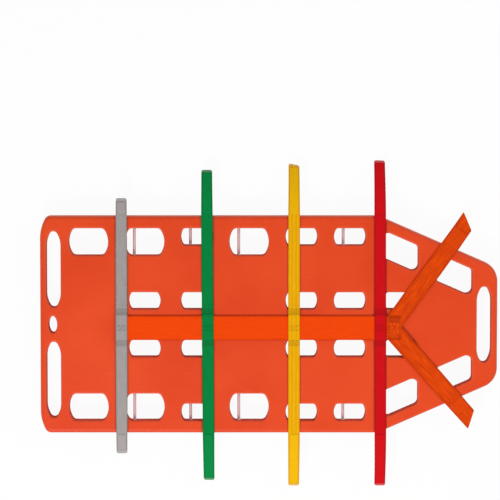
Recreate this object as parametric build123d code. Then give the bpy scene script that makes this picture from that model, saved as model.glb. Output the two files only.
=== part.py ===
from build123d import *
from math import asin, atan2, cos, degrees, radians, sin
import os

# A short moulded spine board with a webbing harness laid on it.
# The board lies face up. +X points to the tapered head end, +Y to the left of someone who
# stands at the foot end and looks to the head, and +Z up. The origin is on the floor, under
# the middle of the whole part.

# Board outline and section, all sizes in millimetres
board_length = 940.0
board_width = 448.0
board_thickness = 38.0
taper_length = 245.0
head_end_width = 234.0
foot_corner_length = 22.0
foot_corner_width = 47.0
foot_corner_radius = 14.0
head_corner_radius = 42.0
taper_start_radius = 40.0
edge_roll = 8.0
hole_bevel = 2.5
grip_soft_step = 1.5

# Runners moulded on the underside
runner_height = 12.0
runner_width = 40.0
runner_spacing = 208.0
runner_ramp = 28.0
runner_foot_inset = 70.0
runner_head_inset = 12.0
runner_edge = 4.0

# Handholds along both sides, from the foot end to the start of the taper
handhold_row = "LLSLSS"
hole_web = 34.4
large_hole_width = 56.0
large_hole_round = 15.0
large_hole_corner = 10.0
small_hole_shorter = 16.0
small_hole_width = 35.0
small_hole_round = 9.0
small_hole_corner = 6.0
first_hole_inset = 59.0
last_hole_inset = 26.0
side_rim = 25.3
inner_row_spacing = 98.6

# Slanted handholds along the taper
slant_hole_length = 74.0
slant_hole_width = 57.0
slant_hole_corner = 12.0
slant_hole_inset = 8.0
slant_hole_web = 37.0

# Slots across the two ends, and the small oval between the foot slots
end_slot_width = 29.5
end_slot_round = 30.0
end_slot_tip = 9.0
end_slot_inset = 27.5
foot_slot_side_rim = 31.5
foot_slot_middle_rim = 35.5
head_slot_rim = 38.5
foot_oval_length = 17.7
foot_oval_width = 34.8
foot_oval_tip = 5.5
foot_oval_inset = 26.0

# Clip pins moulded across handholds
pin_diameter = 6.0
pin_seat = 6.0
pin_clearance = 0.1
pin_inset = 19.0
pinned_holes = (2, 3, 4, 5, 6)

# Webbing of the harness
webbing = 2.0
soft_gap = 0.3
harness_shift = -6.0
long_strap_width = 50.0
cross_strap_width = 24.0
keeper_thickness = 1.2
keeper_seam = 12.0
hump_ramp = 6.0
hook_strip_thickness = 1.0
hook_strip_margin = 2.0
hook_strip_start = 10.0
hem_length = 7.0
hem_thickness = 1.2
droop_radius = 210.0
hinge_to_bend = 2.0

# Cross straps from the foot end up: how far the ends hang past the board's sides, and how far
# each strap is pulled over to the right
first_strap_inset = 167.3
ankle_overhang = 40.0
thigh_overhang = 98.0
pelvis_overhang = 110.0
chest_overhang = 114.0
ankle_pull = 3.0
thigh_pull = 4.0
pelvis_pull = 5.0
chest_pull = 1.0

# Shoulder straps, which leave the yoke on the left and on the right
yoke_inset = 221.0
yoke_to_chest_strap = 19.8
yoke_plate_behind = 6.0
yoke_plate_ahead = 23.0
yoke_hinge_distance = 46.0
yoke_arm_start = 16.0
shoulder_strap_width = 38.0
shoulder_ramp = 26.0
shoulder_end_slant = 33.0
left_shoulder_angle = 53.9
left_shoulder_overhang = 64.9
right_shoulder_angle = -48.6
right_shoulder_overhang = 55.3

# Places that follow from the sizes above
foot_x = -board_length / 2
head_x = board_length / 2
taper_x = head_x - taper_length
half_width = board_width / 2
half_head = head_end_width / 2
taper_slope = (half_width - half_head) / taper_length
board_bottom = runner_height
board_top = runner_height + board_thickness
board_middle = runner_height + board_thickness / 2

keeper_bottom = board_top + soft_gap
keeper_top = keeper_bottom + keeper_thickness
long_strap_bottom = keeper_top + soft_gap
long_strap_top = long_strap_bottom + webbing
strap_bottom = board_top + soft_gap
hump_bottom = long_strap_top + soft_gap
long_strap_half = long_strap_width / 2

hinge_y = half_width - edge_roll - hinge_to_bend
tail_hinge_z = strap_bottom + webbing + soft_gap / 2
shoulder_hinge_z = long_strap_top + webbing + soft_gap / 2

yoke_x = head_x - yoke_inset
long_strap_foot_x = foot_x + first_strap_inset - cross_strap_width / 2
long_strap_head_x = yoke_x + yoke_plate_ahead
cross_straps = [
    ("ankle", ankle_overhang, ankle_pull),
    ("thigh", thigh_overhang, thigh_pull),
    ("pelvis", pelvis_overhang, pelvis_pull),
    ("chest", chest_overhang, chest_pull),
]
strap_run = yoke_x - yoke_to_chest_strap - (foot_x + first_strap_inset)
strap_pitch = strap_run / (len(cross_straps) - 1)
shoulder_straps = [
    ("left", left_shoulder_angle, left_shoulder_overhang),
    ("right", right_shoulder_angle, right_shoulder_overhang),
]


def save(solid, node):
    """Write one sub-part to its own file."""
    export_step(solid, f"parts/{node}.step")


def end_arcs(depth, half, tight):
    """Radius and turn of the two arcs that bend a straight side round to the tip of an end.

    A blunt end has its tight arc beside the side, and a long one has it at the tip."""
    if depth < half:
        wide = (depth**2 + half**2 - 2 * half * tight) / (2 * (depth - tight))
        turn = 90 - degrees(atan2(half - tight, wide - depth))
        return (tight, turn), (wide, 90 - turn)
    wide = (depth**2 + half**2 - 2 * depth * tight) / (2 * (half - tight))
    turn = degrees(atan2(depth - tight, wide - half))
    return (wide, turn), (tight, 90 - turn)


def arc_chain(point, heading, arcs):
    """Arcs that follow each other smoothly from a point, each given by its radius and turn."""
    chain = []
    for radius, turn in arcs:
        arc = JernArc(point, heading, radius, turn)
        chain.append(arc.edge())
        point, heading = arc @ 1, arc % 1
    return chain


def handhold(length, width, depth, tight):
    """A hole along X with straight sides and a soft end of a given depth on both ends."""
    side_arc, (tip_radius, half_turn) = end_arcs(depth, width / 2, tight)
    arcs = (side_arc, (tip_radius, 2 * half_turn), side_arc)
    straight = length - 2 * depth
    edges = []
    for end in (-1, 1):
        start = (end * straight / 2, -end * width / 2)
        edges += arc_chain(start, (end, 0), arcs)
        if straight > 0:
            edges.append(Edge.make_line((-start[0], start[1]), start))
    return make_face(edges)


def taper_edge(x):
    """Half the board's width at x on the tapered stretch."""
    return half_width - taper_slope * (x - taper_x)


# The handhold row: the holes share what the webs between them leave
row_length = taper_x - last_hole_inset - (foot_x + first_hole_inset)
row_webs = hole_web * (len(handhold_row) - 1)
row_saving = small_hole_shorter * handhold_row.count("S")
large_hole_length = (row_length - row_webs + row_saving) / len(handhold_row)
small_hole_length = large_hole_length - small_hole_shorter
hole_sizes = {
    "L": (large_hole_length, large_hole_width, large_hole_round, large_hole_corner),
    "S": (small_hole_length, small_hole_width, small_hole_round, small_hole_corner),
}

row_starts = []
next_start = foot_x + first_hole_inset
for kind in handhold_row:
    row_starts.append(next_start)
    next_start += hole_sizes[kind][0] + hole_web

slant_first_x = taper_x + slant_hole_inset + slant_hole_length / 2
slant_second_x = slant_first_x + slant_hole_length + slant_hole_web

foot_slot_length = half_width - foot_slot_side_rim - foot_slot_middle_rim
foot_slot_y = foot_slot_middle_rim + foot_slot_length / 2
head_slot_length = head_end_width - 2 * head_slot_rim


def board_outline():
    """Plan of the board, with long soft corners at the foot and a tapered head end."""
    corner_x = foot_x + foot_corner_length
    straight_y = half_width - foot_corner_width
    side_arc, end_arc = end_arcs(foot_corner_length, foot_corner_width, foot_corner_radius)
    left_corner = arc_chain((corner_x, half_width), (-1, 0), (side_arc, end_arc))
    right_corner = arc_chain((foot_x, -straight_y), (0, -1), (end_arc, side_arc))
    foot_end = Edge.make_line((foot_x, straight_y), (foot_x, -straight_y))
    sides = FilletPolyline(
        (corner_x, -half_width),
        (taper_x, -half_width),
        (head_x, -half_head),
        (head_x, half_head),
        (taper_x, half_width),
        (corner_x, half_width),
        radius=(taper_start_radius, head_corner_radius, head_corner_radius, taper_start_radius),
    )
    return make_face(left_corner + [foot_end] + right_corner + list(sides.edges()))


def slanted_hole(x):
    """A handhold whose long sides follow the taper, on the left side of the board."""
    middle = taper_edge(x) - side_rim - slant_hole_width / 2
    half_length = slant_hole_length / 2
    drop = taper_slope * half_length
    half_hole = slant_hole_width / 2
    corners = Polyline(
        (x - half_length, middle + drop - half_hole),
        (x + half_length, middle - drop - half_hole),
        (x + half_length, middle - drop + half_hole),
        (x - half_length, middle + drop + half_hole),
        close=True,
    )
    face = make_face(corners.edges())
    return fillet(face.vertices(), slant_hole_corner)


def end_slot(length):
    """A long slot across the board, with narrow rounded tips."""
    return Rot(0, 0, 90) * handhold(length, end_slot_width, end_slot_round, end_slot_tip)


def board_holes():
    """Every hole through the board, as one plan."""
    holes = []
    for side in (-1, 1):
        for kind, start in zip(handhold_row, row_starts):
            length, width = hole_sizes[kind][:2]
            y = half_width - side_rim - width / 2
            holes.append(Pos(start + length / 2, side * y) * handhold(*hole_sizes[kind]))
        inner_columns = [row_starts[i] + hole_sizes[handhold_row[i]][0] / 2 for i in (1, 2, 4, 5)]
        for x in inner_columns + [slant_first_x]:
            holes.append(Pos(x, side * inner_row_spacing / 2) * handhold(*hole_sizes["S"]))
        holes.append(Pos(foot_x + end_slot_inset, side * foot_slot_y) * end_slot(foot_slot_length))
        for x in (slant_first_x, slant_second_x):
            hole = slanted_hole(x)
            holes.append(hole if side > 0 else mirror(hole, about=Plane.XZ))
    holes.append(Pos(head_x - end_slot_inset, 0) * end_slot(head_slot_length))
    oval = handhold(foot_oval_width, foot_oval_length, foot_oval_width / 2, foot_oval_tip)
    holes.append(Pos(foot_x + foot_oval_inset, 0) * Rot(0, 0, 90) * oval)
    return holes


def runner(side):
    """One sledge runner, ramped at both ends."""
    start = foot_x + runner_foot_inset
    end = taper_x - runner_head_inset
    profile = make_face(
        Polyline(
            (start, board_bottom + runner_edge),
            (start, board_bottom),
            (start + runner_ramp, 0),
            (end - runner_ramp, 0),
            (end, board_bottom),
            (end, board_bottom + runner_edge),
            close=True,
        ).edges()
    )
    solid = extrude(Plane.XZ * profile, runner_width / 2, both=True)
    low_edges = solid.edges().filter_by_position(Axis.Z, -runner_edge, board_bottom - runner_edge)
    solid = fillet(low_edges, runner_edge)
    return Pos(0, side * runner_spacing / 2, 0) * solid


def pin_places():
    """Node name, hole width, and the x and y of the middle of each clip pin."""
    places = []
    for side, word in ((1, "left"), (-1, "right")):
        for number in pinned_holes:
            width = hole_sizes[handhold_row[number - 1]][1]
            x = row_starts[number - 1] + pin_inset
            y = side * (half_width - side_rim - width / 2)
            places.append((f"clip_pin_{word}_{number}", width, x, y))
    return places


def rod(diameter, length, x, y):
    """A round rod across a handhold, half way down the board."""
    return Pos(x, y, board_middle) * Rot(90, 0, 0) * Cylinder(diameter / 2, length)


def hole_edges(plate, side, shortest=0.0):
    """Edges of the holes in the board's top or bottom face, less those of smaller holes."""
    face = plate.faces().sort_by(side)[-1]
    wires = [wire for wire in face.inner_wires() if wire.length > shortest]
    return [edge for wire in wires for edge in wire.edges()]


def board_shell():
    """The moulded board: outline, rolled rim, lipped holes, runners and pin sockets.

    The large grips get a second, flatter step, so that their lips are the softest."""
    plate = extrude(board_outline(), board_thickness)
    for hole in board_holes():
        plate -= extrude(hole, board_thickness)
    for height in (Axis.Z, -Axis.Z):
        face = plate.faces().sort_by(height)[-1]
        plate = fillet(face.outer_wire().edges(), edge_roll)
        plate = chamfer(hole_edges(plate, height), hole_bevel)
    plate = chamfer(hole_edges(plate, Axis.Z, 3 * small_hole_length), grip_soft_step)
    plate = Pos(0, 0, board_bottom) * plate
    for side in (-1, 1):
        plate += runner(side)
    for _, width, x, y in pin_places():
        plate -= rod(pin_diameter + 2 * pin_clearance, width + 2 * (pin_seat + pin_clearance), x, y)
    return plate


def cross_strap(x):
    """A strap across the board that humps over the long strap, seen along X."""
    over = long_strap_half + soft_gap
    foot = over + hump_ramp
    seam = foot + keeper_seam
    down = seam + hump_ramp
    end = hinge_y - soft_gap
    middle = harness_shift
    low, sewn, high = strap_bottom, keeper_top, hump_bottom
    path = [
        (-end, low),
        (middle - down, low),
        (middle - seam, sewn),
        (middle - foot, sewn),
        (middle - over, high),
        (middle + over, high),
        (middle + foot, sewn),
        (middle + seam, sewn),
        (middle + down, low),
        (end, low),
    ]
    upper = [(y, z + webbing) for y, z in reversed(path)]
    profile = make_face(Polyline(*path, *upper, close=True).edges())
    return Pos(x, 0, 0) * extrude(Plane.YZ * profile, cross_strap_width / 2, both=True)


def keeper(x):
    """The strip under the long strap, sewn to the cross strap on both sides of it."""
    half = long_strap_half + soft_gap + hump_ramp + keeper_seam
    strip = Box(cross_strap_width, 2 * half, keeper_thickness)
    return Pos(x, harness_shift, keeper_bottom + keeper_thickness / 2) * strip


def arc_band(start, floor, inner, outer, first, last):
    """A bent strip in section: between two arcs about a centre under the point (start, floor)."""
    centre = (start, floor - droop_radius)
    lower = CenterArc(centre, inner, 90 - degrees(first), degrees(first - last))
    upper = CenterArc(centre, outer, 90 - degrees(first), degrees(first - last))
    ends = [Line(lower @ 0, upper @ 0), Line(lower @ 1, upper @ 1)]
    return make_face(lower.edges() + upper.edges() + ends[0].edges() + ends[1].edges())


def strap_tail(x, reach, side):
    """The end of a cross strap past the board's edge, hanging in a gentle curve to its hem."""
    bend_y = half_width - edge_roll
    end_angle = asin((reach - bend_y) / (droop_radius + webbing))
    hem_angle = end_angle - hem_length / droop_radius
    straight = make_face(
        Polyline(
            (hinge_y, strap_bottom),
            (bend_y, strap_bottom),
            (bend_y, strap_bottom + webbing),
            (hinge_y, strap_bottom + webbing),
            close=True,
        ).edges()
    )
    outer = droop_radius + webbing
    bent = arc_band(bend_y, strap_bottom, droop_radius, outer, 0, end_angle)
    hem = arc_band(
        bend_y, strap_bottom, droop_radius - hem_thickness, droop_radius, hem_angle, end_angle
    )
    strip = arc_band(
        bend_y,
        strap_bottom,
        outer,
        outer + hook_strip_thickness,
        hook_strip_start / droop_radius,
        hem_angle,
    )
    half = cross_strap_width / 2
    tail = extrude(Plane.YZ * (straight + bent + hem), half, both=True)
    hook_strip = extrude(Plane.YZ * strip, half - hook_strip_margin, both=True)
    placed = []
    for solid in (tail, hook_strip):
        solid = Pos(x, 0, 0) * solid
        placed.append(solid if side > 0 else mirror(solid, about=Plane.XZ))
    return placed


def shoulder_frame(angle):
    """A plane on edge along a shoulder strap: its x runs outward from the yoke, its y is up."""
    along = (cos(radians(angle)), sin(radians(angle)), 0)
    across = (sin(radians(angle)), -cos(radians(angle)), 0)
    return Plane(origin=(yoke_x, harness_shift, 0), x_dir=along, z_dir=across)


def distance_to_edge(angle):
    """How far a shoulder strap runs from the yoke's point to the slanted edge of the board."""
    rise = abs(sin(radians(angle)))
    side_shift = harness_shift if angle > 0 else -harness_shift
    room = taper_edge(yoke_x) - side_shift
    return room / (rise + taper_slope * cos(radians(angle)))


def shoulder_strap(angle, overhang):
    """A strap from the yoke's edge down to the board, over its edge and out, cut on the slant."""
    root = yoke_hinge_distance + soft_gap
    flat_start = root + shoulder_ramp
    length = distance_to_edge(angle) + overhang
    bend = distance_to_edge(angle) - edge_roll
    spare = shoulder_strap_width / 2
    end_angle = asin((length + spare - bend) / droop_radius)
    outer = droop_radius + webbing
    path = [
        (root, long_strap_top),
        (root + hump_ramp, long_strap_top),
        (flat_start, strap_bottom),
        (bend, strap_bottom),
    ]
    upper = [(u, z + webbing) for u, z in reversed(path)]
    profile = make_face(Polyline(*path, *upper, close=True).edges())
    profile += arc_band(bend, strap_bottom, droop_radius, outer, 0, end_angle)
    hem_angle = asin((length - spare - bend) / droop_radius)
    strip = arc_band(
        bend,
        strap_bottom,
        outer,
        outer + hook_strip_thickness,
        hook_strip_start / droop_radius,
        hem_angle,
    )
    plane = shoulder_frame(angle)
    half = shoulder_strap_width / 2
    strap = extrude(plane * profile, half, both=True)
    hook_strip = extrude(plane * strip, half - hook_strip_margin, both=True)
    cut_angle = angle - shoulder_end_slant if angle > 0 else angle + shoulder_end_slant
    outward = (cos(radians(cut_angle)), sin(radians(cut_angle)), 0)
    cut = Plane(origin=plane.from_local_coords(Vector(length, 0, 0)), z_dir=outward)
    strap = split(strap, bisect_by=cut, keep=Keep.BOTTOM)
    return strap, hook_strip


def shoulder_yoke():
    """The sewn patch that joins the two shoulder straps to the end of the long strap."""
    plate_length = yoke_plate_behind + yoke_plate_ahead
    plate_x = yoke_x - yoke_plate_behind + plate_length / 2
    plan = Pos(plate_x, harness_shift) * Rectangle(plate_length, long_strap_width)
    arm_length = yoke_hinge_distance - yoke_arm_start
    for _, angle, _ in shoulder_straps:
        arm = Pos(yoke_arm_start + arm_length / 2, 0) * Rectangle(arm_length, shoulder_strap_width)
        plan += Pos(yoke_x, harness_shift) * Rot(0, 0, angle) * arm
    return Pos(0, 0, long_strap_top) * extrude(plan, webbing)


def long_strap():
    """The lengthwise strap, from under the ankle strap to the yoke."""
    length = long_strap_head_x - long_strap_foot_x
    middle_x = (long_strap_head_x + long_strap_foot_x) / 2
    strip = Box(length, long_strap_width, webbing)
    return Pos(middle_x, harness_shift, long_strap_bottom + webbing / 2) * strip


os.makedirs("parts", exist_ok=True)

save(board_shell(), "board_shell")
for node, width, x, y in pin_places():
    save(rod(pin_diameter, width + 2 * pin_seat, x, y), node)

save(long_strap(), "long_strap")
save(shoulder_yoke(), "shoulder_yoke")

for number, (name, overhang, pull) in enumerate(cross_straps):
    x = foot_x + first_strap_inset + number * strap_pitch
    save(cross_strap(x), f"{name}_strap")
    save(keeper(x), f"{name}_keeper")
    for side, word in ((1, "left"), (-1, "right")):
        tail, hook_strip = strap_tail(x, half_width + overhang - side * pull, side)
        save(tail, f"{name}_tail_{word}")
        save(hook_strip, f"{name}_hook_strip_{word}")

for word, angle, overhang in shoulder_straps:
    strap, hook_strip = shoulder_strap(angle, overhang)
    save(strap, f"shoulder_strap_{word}")
    save(hook_strip, f"shoulder_hook_strip_{word}")
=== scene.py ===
import math

import bpy
import numpy as np
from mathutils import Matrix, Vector
from mathutils.geometry import delaunay_2d_cdt


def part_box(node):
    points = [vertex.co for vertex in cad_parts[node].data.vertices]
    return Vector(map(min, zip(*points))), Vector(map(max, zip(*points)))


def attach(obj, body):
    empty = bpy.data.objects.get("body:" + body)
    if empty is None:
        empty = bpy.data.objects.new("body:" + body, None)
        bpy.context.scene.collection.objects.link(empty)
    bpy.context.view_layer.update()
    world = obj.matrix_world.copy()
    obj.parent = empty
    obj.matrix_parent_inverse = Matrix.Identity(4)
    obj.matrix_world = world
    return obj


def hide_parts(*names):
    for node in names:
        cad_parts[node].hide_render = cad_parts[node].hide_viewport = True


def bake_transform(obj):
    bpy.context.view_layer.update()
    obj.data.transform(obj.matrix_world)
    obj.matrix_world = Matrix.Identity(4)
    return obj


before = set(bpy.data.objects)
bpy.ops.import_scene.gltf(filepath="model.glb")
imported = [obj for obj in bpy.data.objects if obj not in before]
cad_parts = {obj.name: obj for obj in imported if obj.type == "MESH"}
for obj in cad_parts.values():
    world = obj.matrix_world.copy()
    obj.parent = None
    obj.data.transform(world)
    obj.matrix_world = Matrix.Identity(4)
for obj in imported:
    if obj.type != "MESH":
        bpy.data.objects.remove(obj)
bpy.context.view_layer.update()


# Board shell
# One hollow shell of polyethylene, blow moulded and filled with foam. The mould rolls its rim and
# the lips of its handholds, leaves a fine grain on the skin and a parting line half way down.
def corners_of(node):
    """A CAD node's lowest and highest corners at rest, as plain lists rounded to 0.01 mm."""
    return [[round(value, 5) for value in corner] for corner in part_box(node)]


(foot_x, _, _), (head_x, half_width, board_top) = corners_of("board_shell")
runner_height, taper_length, head_end_width = 0.012, 0.245, 0.234
taper_x, half_head = head_x - taper_length, head_end_width / 2
board_bottom, parting = runner_height, (runner_height + board_top) / 2
taper_slope = (half_width - half_head) / taper_length
taper_turn = math.degrees(math.atan(taper_slope))
taper_bend, head_corner = 0.040, 0.042
corner_length, corner_width, corner_tight = 0.022, 0.047, 0.014

# Quarter rounds of the rim and the holes, the narrow bands beside them and the parting ridge
edge_roll, hole_lip, under_lip = 0.008, 0.0038, 0.0025
rim_land, hole_land = 0.00045, 0.00025
ridge_half_height, ridge_depth = 0.0016, 0.0004

# Length and width of each straight hole, the depth of its soft ends and their tight radius
large_hole = (0.081, 0.056, 0.015, 0.010)
small_hole = (0.065, 0.035, 0.009, 0.006)
end_slot = (0.157, 0.0295, 0.030, 0.009)
foot_oval = (0.0348, 0.0177, 0.0174, 0.0055)
hole_row = [large_hole, large_hole, small_hole, large_hole, small_hole, small_hole]
inner_columns = (1, 2, 4, 5)
side_rim, hole_web, first_hole_inset, inner_row_y = 0.0253, 0.0344, 0.059, 0.0493
slant_length, slant_width, slant_corner = 0.074, 0.057, 0.012
slant_inset, slant_web = 0.008, 0.037
slot_inset, foot_slot_rim, oval_inset = 0.0275, 0.0315, 0.026

# How finely the outlines and skins are divided, and how deep the top skin sinks
straight_step, arc_step, arc_turn, round_rows = 0.007, 0.004, 8, 7
top_spacing, under_spacing, clear_share, chunks = 0.009, 0.016, 0.55, 16
sink_depth = 0.00012


def end_arcs(depth, half, tight):
    """Radius and turn of the two tangent arcs that bend a side round to the tip of an end: the
    wide arc's radius is the one that makes the pair end at the given depth and half width."""
    if depth < half:
        wide = (depth**2 + half**2 - 2 * half * tight) / (2 * (depth - tight))
        turn = 90 - math.degrees(math.atan2(half - tight, wide - depth))
        return (tight, turn), (wide, 90 - turn)
    wide = (depth**2 + half**2 - 2 * depth * tight) / (2 * (half - tight))
    turn = math.degrees(math.atan2(depth - tight, wide - half))
    return (wide, turn), (tight, 90 - turn)


def walk(start, heading, moves):
    """Points and outward normals of a loop walked counter-clockwise, as complex numbers. A move is
    a straight run (length, 0) or an arc (radius, turn): centre - i h r e^(it), with heading h."""
    points, normals = [], []
    for size, turn in moves:
        if turn == 0:
            count = max(2, round(size / straight_step))
            points.append(start + heading * size * np.arange(count) / count)
            normals.append(np.full(count, -1j * heading))
            start = start + heading * size
        else:
            angle = math.radians(turn)
            count = max(4, round(angle * size / arc_step), round(turn / arc_turn))
            spin = np.exp(1j * angle * np.arange(count) / count)
            centre = start + 1j * heading * size
            points.append(centre - 1j * heading * size * spin)
            normals.append(-1j * heading * spin)
            start = centre - 1j * heading * size * np.exp(1j * angle)
            heading = heading * np.exp(1j * angle)
    return np.concatenate(points), np.concatenate(normals)


def handhold(x, y, length, width, depth, tight, spin=1):
    """A hole about a middle point, turned by spin: each half is the arcs that bend one side round
    the tip to the other side, and then a straight run of the length less both ends' depth."""
    side, (tip, half_turn) = end_arcs(depth, width / 2, tight)
    straight = length - 2 * depth
    half = [side, (tip, 2 * half_turn), side] + ([(straight, 0)] if straight > 0 else [])
    points, normals = walk(complex(straight / 2, -width / 2), 1 + 0j, half * 2)
    return points * spin + complex(x, y), normals * spin


def slanted_hole(x):
    """A handhold on the taper, a parallelogram whose long sides follow the board's edge: a corner
    of radius r that turns by t takes r tan(t / 2) off the two sides that meet there."""
    half, across = slant_length / 2, slant_width / 2
    middle = half_width - taper_slope * (x - taper_x) - side_rim - across
    lean = math.radians(taper_turn)
    wide_cut = slant_corner * math.tan(math.radians(90 + taper_turn) / 2)
    slim_cut = slant_corner * math.tan(math.radians(90 - taper_turn) / 2)
    long_run = (2 * half / math.cos(lean) - wide_cut - slim_cut, 0)
    end_run = (2 * across - wide_cut - slim_cut, 0)
    along = np.exp(-1j * lean)
    start = complex(x - half, middle + taper_slope * half - across) + along * slim_cut
    wide, slim = (slant_corner, 90 + taper_turn), (slant_corner, 90 - taper_turn)
    return walk(start, along, [long_run, wide, end_run, slim] * 2)


def mirrored(loop):
    """The same hole on the other side of the board, with y negative, still counter-clockwise."""
    return np.conj(loop[0])[::-1], np.conj(loop[1])[::-1]


def board_rim():
    """The board's outline, from the right side's foot end: side, bend, taper, corner and head end,
    then the same back to the foot end and its two long soft corners."""
    head_cut = head_corner * math.tan(math.radians(90 - taper_turn) / 2)
    taper_cut = taper_bend * math.tan(math.radians(taper_turn) / 2)
    slope_length = math.hypot(taper_length, half_width - half_head)
    side = (taper_x - foot_x - corner_length - taper_cut, 0)
    slope = (slope_length - taper_cut - head_cut, 0)
    head_end = (2 * (half_head - head_cut), 0)
    foot_end = (2 * (half_width - corner_width), 0)
    bend, corner = (taper_bend, taper_turn), (head_corner, 90 - taper_turn)
    tight, wide = end_arcs(corner_length, corner_width, corner_tight)
    moves = [side, bend, slope, corner, head_end, corner, slope, bend, side]
    moves += [tight, wide, foot_end, wide, tight]
    return walk(complex(foot_x + corner_length, -half_width), 1 + 0j, moves)


def board_holes(starts):
    """Every hole: the row and the inner row, a slot and two slanted holes on the left, the same
    mirrored on the right, and the head slot and the foot oval on the middle line."""
    middles = [start + kind[0] / 2 for start, kind in zip(starts, hole_row)]
    slant_x = taper_x + slant_inset + slant_length / 2
    left = [handhold(x, half_width - side_rim - kind[1] / 2, *kind) for x, kind in zip(middles, hole_row)]
    left += [handhold(middles[i], inner_row_y, *small_hole) for i in inner_columns]
    left.append(handhold(slant_x, inner_row_y, *small_hole))
    foot_slot_y = half_width - foot_slot_rim - end_slot[0] / 2
    left.append(handhold(foot_x + slot_inset, foot_slot_y, *end_slot, 1j))
    left += [slanted_hole(slant_x), slanted_hole(slant_x + slant_length + slant_web)]
    head_slot = handhold(head_x - slot_inset, 0, *end_slot, 1j)
    oval = handhold(foot_x + oval_inset, 0, *foot_oval, 1j)
    return left + [mirrored(hole) for hole in left] + [head_slot, oval]


def edge_profile(roll, side):
    """Offset along the outline's normal, height, share of the painted lip highlight and share of the
    painted pale wall tint, from the top face down: a quarter round, a wall with a small parting ridge,
    and a quarter round below. A round of radius r is r (1 - sin t) away from the wall and r (1 - cos t)
    from the face."""
    low, land = (edge_roll, rim_land) if side < 0 else (under_lip, hole_land)
    turn = np.linspace(0, math.pi / 2, round_rows)
    away, drop, lip = 1 - np.sin(turn), 1 - np.cos(turn), np.sin(2 * turn)
    top = np.stack([roll * away, board_top - roll * drop, lip, np.sin(turn) ** 4], 1)
    under = np.stack([low * away, board_bottom + low * drop, 0.6 * lip, np.sin(turn) ** 2], 1)
    ridge = [
        [0, parting + ridge_half_height, 0, 1],
        [-ridge_depth, parting, 0.4, 1],
        [0, parting - ridge_half_height, 0, 1],
    ]
    first, last = [roll + land, board_top, 0, 0], [low + land, board_bottom, 0, 0]
    rows = np.column_stack([first, *top, *ridge, *under[::-1], last])
    rows[0] *= side
    return rows


def crossings(points, starts, ends):
    """How many outline edges a ray towards +X from each point crosses; odd means inside."""
    px, py = points[:, :1], points[:, 1:]
    spans = (starts[:, 1] > py) != (ends[:, 1] > py)
    rise = np.where(ends[:, 1] == starts[:, 1], 1, ends[:, 1] - starts[:, 1])
    x_there = starts[:, 0] + (py - starts[:, 1]) * (ends[:, 0] - starts[:, 0]) / rise
    return (spans & (px < x_there)).sum(1)


def skin(loops, spacing):
    """Triangles of a flat face inside the first loop and outside the others, with a staggered
    grid of points between them. Returns the grid points and the triangles."""
    starts = np.concatenate(loops)
    ends = np.concatenate([np.roll(loop, -1, 0) for loop in loops])
    columns, rows = np.arange(foot_x, head_x, spacing), np.arange(-half_width, half_width, spacing)
    grid_x, grid_y = np.meshgrid(columns, rows)
    grid_x = grid_x + spacing / 2 * (np.arange(len(grid_x)) % 2)[:, None]
    grid = np.stack([grid_x.ravel(), grid_y.ravel()], 1)
    kept = []
    for part in np.array_split(grid, chunks):
        near = np.hypot(part[:, :1] - starts[:, 0], part[:, 1:] - starts[:, 1]).min(1)
        inside = crossings(part, starts, ends) % 2 == 1
        kept.append(part[(near > spacing * clear_share) & inside])
    grid = np.concatenate(kept)
    corners = np.concatenate([starts, grid])
    first, edges = 0, []
    for loop in loops:
        index = np.arange(first, first + len(loop))
        edges.append(np.stack([index, np.roll(index, -1)], 1))
        first += len(loop)
    same, smallest_area = 1e-7, 1e-9
    _, _, faces, origins, _, _ = delaunay_2d_cdt(
        [Vector(corner) for corner in corners], np.concatenate(edges).tolist(), [], 0, same)
    back = np.array([origin[0] for origin in origins])
    faces = back[np.array(faces)]
    middles = corners[faces].mean(1)
    parity = np.concatenate([crossings(part, starts, ends) for part in np.array_split(middles, chunks)])
    faces = faces[parity % 2 == 1]
    a, b, c = corners[faces[:, 0]], corners[faces[:, 1]], corners[faces[:, 2]]
    area = (b[:, 0] - a[:, 0]) * (c[:, 1] - a[:, 1]) - (b[:, 1] - a[:, 1]) * (c[:, 0] - a[:, 0])
    faces[area < 0] = faces[area < 0][:, ::-1]
    return grid, faces[np.abs(area) > smallest_area]


def make_piece(name, points, faces, weave=None, crease=38):
    """A mesh object from corner points and lists of faces. weave gives each corner its place
    along and across a strap, in metres, as the piece's UV map."""
    mesh = bpy.data.meshes.new(name)
    mesh.from_pydata(points.tolist(), [], [face for group in faces for face in group.tolist()])
    if weave is not None:
        corner = np.zeros(len(mesh.loops), int)
        mesh.loops.foreach_get("vertex_index", corner)
        mesh.uv_layers.new(name="weave").data.foreach_set("uv", weave[corner].ravel())
    mesh.shade_smooth()
    mesh.set_sharp_from_angle(angle=math.radians(crease))
    piece = bpy.data.objects.new(name, mesh)
    bpy.context.scene.collection.objects.link(piece)
    return piece


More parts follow.
